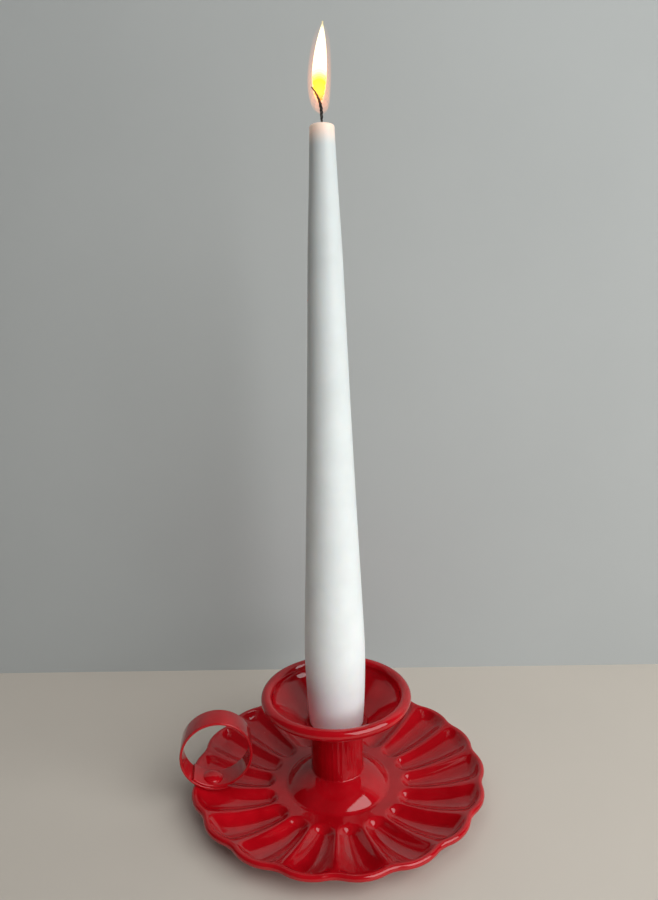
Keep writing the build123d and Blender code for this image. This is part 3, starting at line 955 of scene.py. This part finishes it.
def flowing(points, steps):
    """Smooth line through points, from curves whose handles follow the neighbours."""
    line = [points[0]]
    last = len(points) - 1
    for index in range(last):
        here, there = Vector(points[index]), Vector(points[index + 1])
        before = Vector(points[max(index - 1, 0)])
        after = Vector(points[min(index + 2, last)])
        reach = (there - here).length / 3
        lean_here = (there - before).normalized() * reach
        lean_there = (after - here).normalized() * reach
        stretch = interpolate_bezier(here, here + lean_here, there - lean_there, there, steps + 1)
        line += [(point.x, point.y) for point in stretch[1:]]
    return line


CANDLE_STEPS = 160
POOL_STEPS = 10


class CHAMBERSTICK_OT_candle(bpy.types.Operator):
    """Turn the tapered candle with its foot, shoulder and molten top"""

    bl_idname = "chamberstick.make_candle"
    bl_label = "Candle"

    def execute(self, context):
        sizes = context.scene.chamberstick
        candle = sizes.candle
        form = SocketForm(sizes)
        low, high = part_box("candle")
        foot_radius = form.bore - candle.clearance
        foot_middle = (foot_radius - candle.foot_round, low.z + candle.foot_round)
        foot = arc(foot_middle, candle.foot_round, -pi / 2, 0, 8)
        shoulder_height = form.mouth + candle.shoulder_rise
        free = high.z - shoulder_height
        body = [(candle.shoulder, shoulder_height)]
        body += [(candle.radius * wide, shoulder_height + free * up) for up, wide in CANDLE_FORM_SHARES]
        body.append((candle.top_radius, high.z - candle.top_round))
        rim = candle.top_radius - candle.top_round
        points = [(0, low.z)]
        points += foot
        points.append((foot_radius, form.mouth))
        points += flowing(body, 10)
        points += arc((rim, high.z - candle.top_round), candle.top_round, 0, pi / 2, 8)[1:]
        for part in between(0, 1, POOL_STEPS)[1:]:
            points.append((rim * (1 - part), high.z - candle.pool_depth * smooth_step(part)))
        mesh = turned(points, CANDLE_STEPS, closed=False)
        wax = candle_wax(sizes.finishes, candle)
        place_piece("wax_candle", mesh, wax, CANDLE, "candle")
        return {"FINISHED"}


STEPS_PER_TWIST = 12
STRAND_SIDES = 8


class CHAMBERSTICK_OT_wick(bpy.types.Operator):
    """Twist the wick's strands and bend its burnt end over"""

    bl_idname = "chamberstick.make_wick"
    bl_label = "Wick"

    def execute(self, context):
        sizes = context.scene.chamberstick
        wick = sizes.wick
        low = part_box("candle")[0].z
        bend_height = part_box("candle")[1].z + wick.straight
        bend_turn = asin((wick.stand - wick.straight) / wick.bend)
        run = bend_height - low + wick.bend * bend_turn
        strand = wick.radius * wick.strand
        offset = wick.radius - strand
        turns = run / wick.turn_length
        steps = ceil(turns * STEPS_PER_TWIST)
        mesh = bmesh.new()
        ring = bmesh.ops.create_circle(mesh, cap_ends=True, segments=STRAND_SIDES, radius=strand)
        bmesh.ops.translate(mesh, vec=(offset, 0, low), verts=ring["verts"])
        bmesh.ops.spin(
            mesh, geom=mesh.verts[:] + mesh.edges[:] + mesh.faces[:], cent=(0, 0, 0), axis=(0, 0, 1),
            dvec=(0, 0, run / steps), angle=2 * pi * turns, steps=steps,
        )
        repeat_round(mesh, wick.strands)
        close_up(mesh)
        top = bend_height - wick.straight
        for vert in mesh.verts:
            burnt = max(vert.co.z - top, 0) / (run - (top - low))
            waist = wick.waist + (1 - wick.waist) * smooth_step(burnt / wick.knot)
            point = 1 - (1 - wick.point) * smooth_step((burnt - wick.taper) / (1 - wick.taper))
            vert.co.xy *= min(waist, point) if burnt > 0 else wick.waist
            if vert.co.z > bend_height:
                turn = (vert.co.z - bend_height) / wick.bend
                reach = wick.bend + vert.co.x
                vert.co.x = reach * cos(turn) - wick.bend
                vert.co.z = bend_height + reach * sin(turn)
        cotton = burnt_cotton(sizes.finishes)
        place_piece("braided_wick", mesh, cotton, CANDLE, "wick")
        return {"FINISHED"}


def add_flame_lamp(name, place, radius, brightness, tint, candle):
    """Small round lamp that the camera sees and that goes with the candle."""
    lamp = bpy.data.lights.new(name, "POINT")
    lamp.shadow_soft_size = radius
    lamp.energy = 4 * pi ** 2 * radius ** 2 * brightness
    lamp.color = tint
    made = bpy.data.objects.new(name, lamp)
    made.location = place
    made.visible_camera = True
    made.parent = candle
    bpy.context.scene.collection.objects.link(made)


FLAME_TAPER_POWER = 0.9
LEAST_SWELL = 0.12


class CHAMBERSTICK_OT_flame(bpy.types.Operator):
    """Light the candle with a leaning column of small round lamps that goes with it"""

    bl_idname = "chamberstick.light_flame"
    bl_label = "Flame"

    def execute(self, context):
        sizes = context.scene.chamberstick
        flame = sizes.flame
        finishes = sizes.finishes
        foot, low, core = (
            Vector(shade[:3]) for shade in (finishes.flame_foot, finishes.flame_low, finishes.flame_core)
        )
        candle = bpy.data.objects["wax_candle"]
        for place, swell, part in self.column(flame, flame.core_rise, flame.core_lamps):
            heat = smooth_step((part - flame.orange) / (flame.yellow - flame.orange))
            heat *= 1 - smooth_step((part - 1 + flame.tip) / flame.tip)
            kindled = smooth_step(part / flame.orange)
            tint = foot.lerp(low, kindled).lerp(core, heat)
            glow = flame.foot_glow + (flame.glow - flame.foot_glow) * kindled
            add_flame_lamp("flame", place, flame.radius * swell, glow, tint, candle)
        for place, swell, part in self.column(flame, 0, flame.halo_lamps):
            radius = flame.radius * swell + flame.halo * min(2 * swell, 1)
            glow = flame.halo_glow * (1 - part)
            add_flame_lamp("flame_halo", place, radius, glow, finishes.flame_edge[:3], candle)
        return {"FINISHED"}

    def column(self, flame, rise, lamps):
        """Places up the flame, each with its swell and its part of the column's height."""
        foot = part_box("candle")[1].z + flame.foot
        stations = []
        for step in range(lamps):
            part = (step + 0.5) / lamps
            height = rise + (flame.height - rise) * part
            up = height / flame.height
            taper = ((1 - part) / (1 - flame.belly)) ** FLAME_TAPER_POWER
            swell = max(sqrt(part / flame.belly) * taper, LEAST_SWELL)
            lean = flame.foot_lean * (1 - up) + flame.tip_lean * up
            lean -= flame.belly_lean * sin(pi * sqrt(up))
            stations.append(((lean, 0, foot + height), swell, part))
        return stations


# Stage
MOTTLE_SHARE = 0.96
# Share of the colour left where the backdrop's painted shade is darkest.
PAINTED_SHADE_SHARE = 0.12


def shaded(shade, part):
    """Darker tone of a colour."""
    return [channel * part for channel in shade[:3]] + [1]


def plain_finish(name, shade, stage, one_sided):
    """Matt surface with faint mottling; a one-sided one has painted shade that darkens it away from its
    middle, and is clear from its back.
    """
    material, tree, shader, place = start_material(name)
    mottle = add_noise(tree, place, 8.0, 4.0)
    mottled = add_ramp(tree, mottle, (0.3, shaded(shade, MOTTLE_SHARE)), (0.7, shade))
    shader.inputs["Roughness"].default_value = 0.7
    if one_sided:
        # Painted shade: the colour darkens with distance from the backdrop's middle.
        middle = (0, stage.backdrop_y, CAD_BOX[1].z / 2)
        away = add_node(tree, "ShaderNodeVectorMath", {0: place, 1: middle}, operation="DISTANCE")
        painted_falloff = add_node(
            tree, "ShaderNodeMapRange",
            {
                "Value": away.outputs["Value"],
                "From Min": stage.backdrop_lit,
                "From Max": stage.backdrop_dark,
            },
            interpolation_type="SMOOTHSTEP",
        )
        mottled = add_mix(tree, painted_falloff.outputs["Result"], mottled, shaded(shade, PAINTED_SHADE_SHARE))
        behind = tree.nodes.new("ShaderNodeNewGeometry").outputs["Backfacing"]
        seen = tree.nodes.new("ShaderNodeLightPath").outputs["Is Camera Ray"]
        hidden = add_node(tree, "ShaderNodeMath", {0: behind, 1: seen}, operation="MULTIPLY")
        clear = tree.nodes.new("ShaderNodeBsdfTransparent")
        blend = add_node(
            tree, "ShaderNodeMixShader",
            {0: hidden.outputs["Value"], 1: shader.outputs["BSDF"], 2: clear.outputs["BSDF"]},
        )
        tree.links.new(blend.outputs["Shader"], tree.nodes["Material Output"].inputs["Surface"])
    tree.links.new(mottled, shader.inputs["Base Color"])
    return material


# Name, place, target, width, height, power, tint and whether reflections show the lamp
LAMPS = (
    ("window", (0.645, -0.717, 0.7), (0, 0, 0.08), 1.1, 1.0, 11.8, (0.95, 1.0, 1.0), True),
    ("fill", (-0.2, -0.5, 1.5), (0, 0, 0.08), 1.2, 1.2, 5.0, (0.97, 0.985, 1.0), False),
    ("low_fill", (0.2, -0.36, 0.13), (0, 0, 0.06), 0.2, 0.15, 0.36, (0.97, 0.985, 1.0), False),
)
ROOM_TINT = (0.5, 0.51, 0.53, 1)
ROOM_STRENGTH = 0.06
SENSOR_MM = 36.0
CLIP_START, CLIP_END = 0.005, 50.0


def add_lamp(name, place, target, width, height, power, tint, mirrored):
    """Soft rectangular lamp that faces a point."""
    lamp = bpy.data.lights.new(name, "AREA")
    lamp.shape = "RECTANGLE"
    lamp.size = width
    lamp.size_y = height
    lamp.energy = power
    lamp.color = tint
    made = bpy.data.objects.new(name, lamp)
    made.location = place
    made.rotation_euler = (Vector(target) - Vector(place)).to_track_quat("-Z", "Y").to_euler()
    made.visible_glossy = mirrored
    bpy.context.scene.collection.objects.link(made)


class CHAMBERSTICK_OT_stage(bpy.types.Operator):
    """Set up the floor, backdrop, lamps and camera"""

    bl_idname = "chamberstick.set_stage"
    bl_label = "Stage"

    def execute(self, context):
        sizes = context.scene.chamberstick
        self.floor_and_backdrop(sizes)
        self.lamps(context)
        self.camera(context, sizes.stage)
        context.scene.view_settings.view_transform = "Standard"
        return {"FINISHED"}

    def floor_and_backdrop(self, sizes):
        stage = sizes.stage
        for name, shade, turn, shift, one_sided in (
            ("floor", sizes.finishes.floor, 0, (0, 0, 0), False),
            ("backdrop", sizes.finishes.backdrop, pi / 2, (0, stage.backdrop_y, stage.room), True),
        ):
            mesh = bmesh.new()
            bmesh.ops.create_grid(mesh, x_segments=1, y_segments=1, size=stage.room)
            set_up = Matrix.Rotation(-stage.backdrop_turn, 4, "Z") @ Matrix.Translation(shift)
            set_up @= Matrix.Rotation(turn, 4, "X")
            bmesh.ops.transform(mesh, matrix=set_up, verts=mesh.verts)
            place_object(name, mesh, plain_finish(name, shade, stage, one_sided))

    def lamps(self, context):
        for lamp in LAMPS:
            add_lamp(*lamp)
        world = bpy.data.worlds.new("room")
        context.scene.world = world
        world.use_nodes = True
        background = world.node_tree.nodes["Background"]
        background.inputs["Color"].default_value = ROOM_TINT
        background.inputs["Strength"].default_value = ROOM_STRENGTH

    def camera(self, context, stage):
        data = bpy.data.cameras.new("camera")
        data.lens = stage.lens
        data.sensor_width = SENSOR_MM
        data.clip_start = CLIP_START
        data.clip_end = CLIP_END
        camera = bpy.data.objects.new("camera", data)
        look = Matrix.Rotation(-stage.heading, 4, "Z") @ Matrix.Rotation(pi / 2 - stage.pitch, 4, "X")
        place = Matrix.Translation((stage.camera_x, stage.camera_y, stage.camera_z))
        camera.matrix_world = place @ look @ Matrix.Rotation(stage.roll, 4, "Z")
        context.scene.collection.objects.link(camera)
        context.scene.camera = camera


class CHAMBERSTICK_PT_panel(bpy.types.Panel):
    """Steps that make the chamberstick"""

    bl_label = "Chamberstick"
    bl_idname = "CHAMBERSTICK_PT_panel"
    bl_space_type = "VIEW_3D"
    bl_region_type = "UI"
    bl_category = "Chamberstick"

    def draw(self, context):
        for step in STEPS:
            self.layout.operator(step.bl_idname)


STEPS = (
    CHAMBERSTICK_OT_dish,
    CHAMBERSTICK_OT_socket,
    CHAMBERSTICK_OT_bowl,
    CHAMBERSTICK_OT_loop,
    CHAMBERSTICK_OT_loop_rivet,
    CHAMBERSTICK_OT_fasteners,
    CHAMBERSTICK_OT_candle,
    CHAMBERSTICK_OT_wick,
    CHAMBERSTICK_OT_flame,
    CHAMBERSTICK_OT_stage,
)

GROUPS = (
    DishSizes,
    SocketSizes,
    BowlSizes,
    LoopSizes,
    RivetSizes,
    CandleSizes,
    WickSizes,
    FlameSizes,
    Finishes,
    StageSizes,
    Chamberstick,
)

CLASSES = GROUPS + STEPS + (CHAMBERSTICK_PT_panel,)


def register():
    for made_class in CLASSES:
        bpy.utils.register_class(made_class)
    bpy.types.Scene.chamberstick = PointerProperty(type=Chamberstick)


def unregister():
    del bpy.types.Scene.chamberstick
    for made_class in reversed(CLASSES):
        bpy.utils.unregister_class(made_class)


def main():
    register()
    bpy.ops.chamberstick.make_dish()
    bpy.ops.chamberstick.make_socket()
    bpy.ops.chamberstick.make_bowl()
    bpy.ops.chamberstick.make_loop()
    bpy.ops.chamberstick.make_loop_rivet()
    bpy.ops.chamberstick.finish_fasteners()
    bpy.ops.chamberstick.make_candle()
    bpy.ops.chamberstick.make_wick()
    bpy.ops.chamberstick.light_flame()
    bpy.ops.chamberstick.set_stage()
    bpy.context.view_layer.update()


if __name__ == "__main__":
    main()
